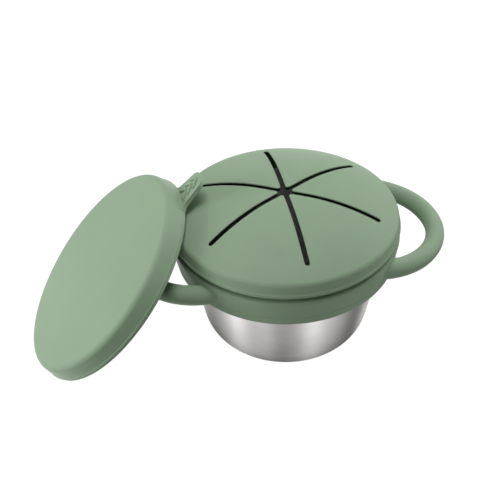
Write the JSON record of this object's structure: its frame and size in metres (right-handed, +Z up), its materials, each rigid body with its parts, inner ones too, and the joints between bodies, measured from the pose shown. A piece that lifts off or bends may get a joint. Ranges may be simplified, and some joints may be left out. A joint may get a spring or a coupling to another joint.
{
  "type": "toddler snack container",
  "caption": "Small steel bowl in a soft sleeve with two loop handles, a slit snack lid with flaps that a hand pushes through, and a tabbed storage lid leaning on it.",
  "frame": {"origin": "centre of the bowl's flat base, on the table", "axes": "+Z up along the bowl's axis, X through the two loop handles, with the storage lid leaning on the -X side"},
  "size_m": [0.2179, 0.12, 0.0929],
  "materials": {
    "steel": "fine satin brush, running round the bowl",
    "silicone": "soft matt silicone, sage green"
  },
  "bodies": {
    "root": {"steel_bowl": "steel"},
    "handle_sleeve": {"handle_sleeve": "silicone"},
    "snack_lid": {"snack_lid": "silicone"},
    "petal_1": {"petal_1": "silicone"},
    "petal_2": {"petal_2": "silicone"},
    "petal_3": {"petal_3": "silicone"},
    "petal_4": {"petal_4": "silicone"},
    "petal_5": {"petal_5": "silicone"},
    "petal_6": {"petal_6": "silicone"},
    "storage_lid": {"storage_lid": "silicone"}
  },
  "joints": [
    {"name": "sleeve_pull", "type": "slide", "parent": "root", "child": "handle_sleeve", "axis": [0, 0, -1], "range_m": [0, 0.036]},
    {"name": "snack_lid_lift", "type": "slide", "parent": "root", "child": "snack_lid", "axis": [0, 0, 1], "range_m": [0, 0.04]},
    {"name": "petal_1_flex", "type": "hinge", "parent": "snack_lid", "child": "petal_1", "pos_m": [0.038, 0.00046, 0.07903], "axis": [0.0122, -0.9999, 0], "range_deg": [-20, 55], "stiffness_Nm_per_rad": 0.04},
    {"name": "petal_2_flex", "type": "hinge", "parent": "snack_lid", "child": "petal_2", "pos_m": [0.0186, 0.03314, 0.07903], "axis": [0.8721, -0.4894, 0], "range_deg": [-20, 55], "stiffness_Nm_per_rad": 0.04},
    {"name": "petal_3_flex", "type": "hinge", "parent": "snack_lid", "child": "petal_3", "pos_m": [-0.0194, 0.03267, 0.07903], "axis": [0.8599, 0.5105, 0], "range_deg": [-20, 55], "stiffness_Nm_per_rad": 0.04},
    {"name": "petal_4_flex", "type": "hinge", "parent": "snack_lid", "child": "petal_4", "pos_m": [-0.038, -0.00046, 0.07903], "axis": [-0.0122, 0.9999, 0], "range_deg": [-20, 55], "stiffness_Nm_per_rad": 0.04},
    {"name": "petal_5_flex", "type": "hinge", "parent": "snack_lid", "child": "petal_5", "pos_m": [-0.0186, -0.03314, 0.07903], "axis": [-0.8721, 0.4894, 0], "range_deg": [-20, 55], "stiffness_Nm_per_rad": 0.04},
    {"name": "petal_6_flex", "type": "hinge", "parent": "snack_lid", "child": "petal_6", "pos_m": [0.0194, -0.03267, 0.07903], "axis": [-0.8599, -0.5105, 0], "range_deg": [-20, 55], "stiffness_Nm_per_rad": 0.04},
    {"name": "storage_lid_lift", "type": "slide", "parent": "snack_lid", "child": "storage_lid", "axis": [-0.706, 0.021, 0.7079], "range_m": [0, 0.06]}
  ]
}
